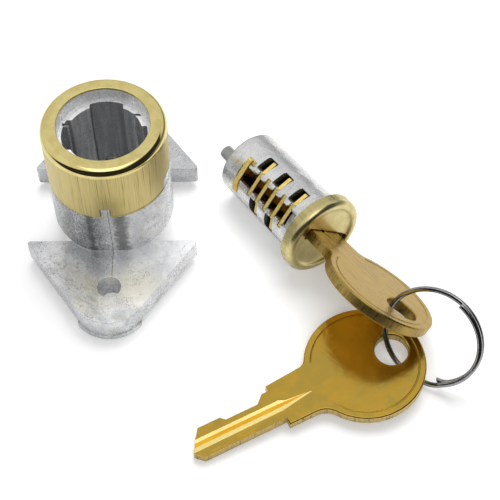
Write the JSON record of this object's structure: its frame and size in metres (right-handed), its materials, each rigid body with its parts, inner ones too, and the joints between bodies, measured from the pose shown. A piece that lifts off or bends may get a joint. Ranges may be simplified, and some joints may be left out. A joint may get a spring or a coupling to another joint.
{
  "type": "drawer lock",
  "caption": "Drawer lock with its plug taken out: flanged barrel housing with trim cap and sliding bolt, wafer plug with its key, and a spare key on a split ring.",
  "frame": {"origin": "on the ground under the feet, on the barrel's axis, midway between the two screw holes", "axes": "+Z along the barrel towards the face, +Y through the two screw holes, +X the way the bolt slides out"},
  "size_m": [0.0806, 0.077, 0.0288],
  "materials": {
    "cast_zinc": "bare zinc die casting, grey, mottled and slightly rough",
    "cap_brass": "satin brass sheet with a polished rolled edge",
    "cover_steel": "plain zinc-plated steel sheet",
    "wafer_brass": "stamped bare brass",
    "spring_bronze": "dark phosphor bronze wire",
    "key_brass": "bare brass, tumbled, with bright edges and groove",
    "ring_steel": "polished nickel-plated steel wire"
  },
  "bodies": {
    "housing": {"housing": "cast_zinc", "trim_cap": "cap_brass", "bolt_cover": "cover_steel"},
    "bolt": {"bolt": "cast_zinc"},
    "plug": {"plug_core": "cast_zinc", "plug_face": "cap_brass", "wafer_spring_1": "spring_bronze", "wafer_spring_2": "spring_bronze", "wafer_spring_3": "spring_bronze", "wafer_spring_4": "spring_bronze", "wafer_spring_5": "spring_bronze", "retainer_spring": "spring_bronze"},
    "wafer_1": {"wafer_1": "wafer_brass"},
    "wafer_2": {"wafer_2": "wafer_brass"},
    "wafer_3": {"wafer_3": "wafer_brass"},
    "wafer_4": {"wafer_4": "wafer_brass"},
    "wafer_5": {"wafer_5": "wafer_brass"},
    "retainer": {"retainer_wafer": "wafer_brass"},
    "key_1": {"key_1": "key_brass"},
    "ring": {"split_ring": "ring_steel"},
    "key_2": {"key_2": "key_brass"}
  },
  "joints": [
    {"name": "bolt_slide", "type": "slide", "parent": "housing", "child": "bolt", "axis": [1, 0, 0], "range_m": [0, 0.00678]},
    {"name": "plug_lift", "type": "slide", "parent": "housing", "child": "plug", "axis": [0, 0, 1], "range_m": [0, 0.025]},
    {"name": "key_draw", "type": "slide", "parent": "plug", "child": "key_1", "axis": [0.5682, -0.8193, 0.0772], "range_m": [0, 0.02]},
    {"name": "retainer_press", "type": "slide", "parent": "plug", "child": "retainer", "axis": [0.6401, 0.381, -0.6671], "range_m": [0, 0.0008], "stiffness_N_per_m": 150, "springref_m": -0.001, "deforming": ["retainer_spring"]},
    {"name": "ring_swing", "type": "hinge", "parent": "key_1", "child": "ring", "pos_m": [0.05115, -0.02733, 0.00988], "axis": [0, 0, 1], "range_deg": [-20, 20]},
    {"name": "key_2_swing", "type": "hinge", "parent": "ring", "child": "key_2", "pos_m": [0.05033, -0.03107, 0.00272], "axis": [-0.0392, -0.0191, 0.999], "range_deg": [-12, 18]},
    {"name": "wafer_1_rise", "type": "slide", "parent": "plug", "child": "wafer_1", "axis": [-0.6401, -0.381, 0.6671], "range_m": [0, 0.0008]},
    {"name": "wafer_2_rise", "type": "slide", "parent": "plug", "child": "wafer_2", "axis": [-0.6401, -0.381, 0.6671], "range_m": [0, 0.0008]},
    {"name": "wafer_3_rise", "type": "slide", "parent": "plug", "child": "wafer_3", "axis": [-0.6401, -0.381, 0.6671], "range_m": [0, 0.0008]},
    {"name": "wafer_4_rise", "type": "slide", "parent": "plug", "child": "wafer_4", "axis": [-0.6401, -0.381, 0.6671], "range_m": [0, 0.0008]},
    {"name": "wafer_5_rise", "type": "slide", "parent": "plug", "child": "wafer_5", "axis": [-0.6401, -0.381, 0.6671], "range_m": [0, 0.0008]}
  ],
  "couplings": [
    {"joint": "wafer_1_rise", "follows": "key_draw", "ratio": 0.04},
    {"joint": "wafer_2_rise", "follows": "key_draw", "ratio": 0.04},
    {"joint": "wafer_3_rise", "follows": "key_draw", "ratio": 0.04},
    {"joint": "wafer_4_rise", "follows": "key_draw", "ratio": 0.04},
    {"joint": "wafer_5_rise", "follows": "key_draw", "ratio": 0.04}
  ]
}
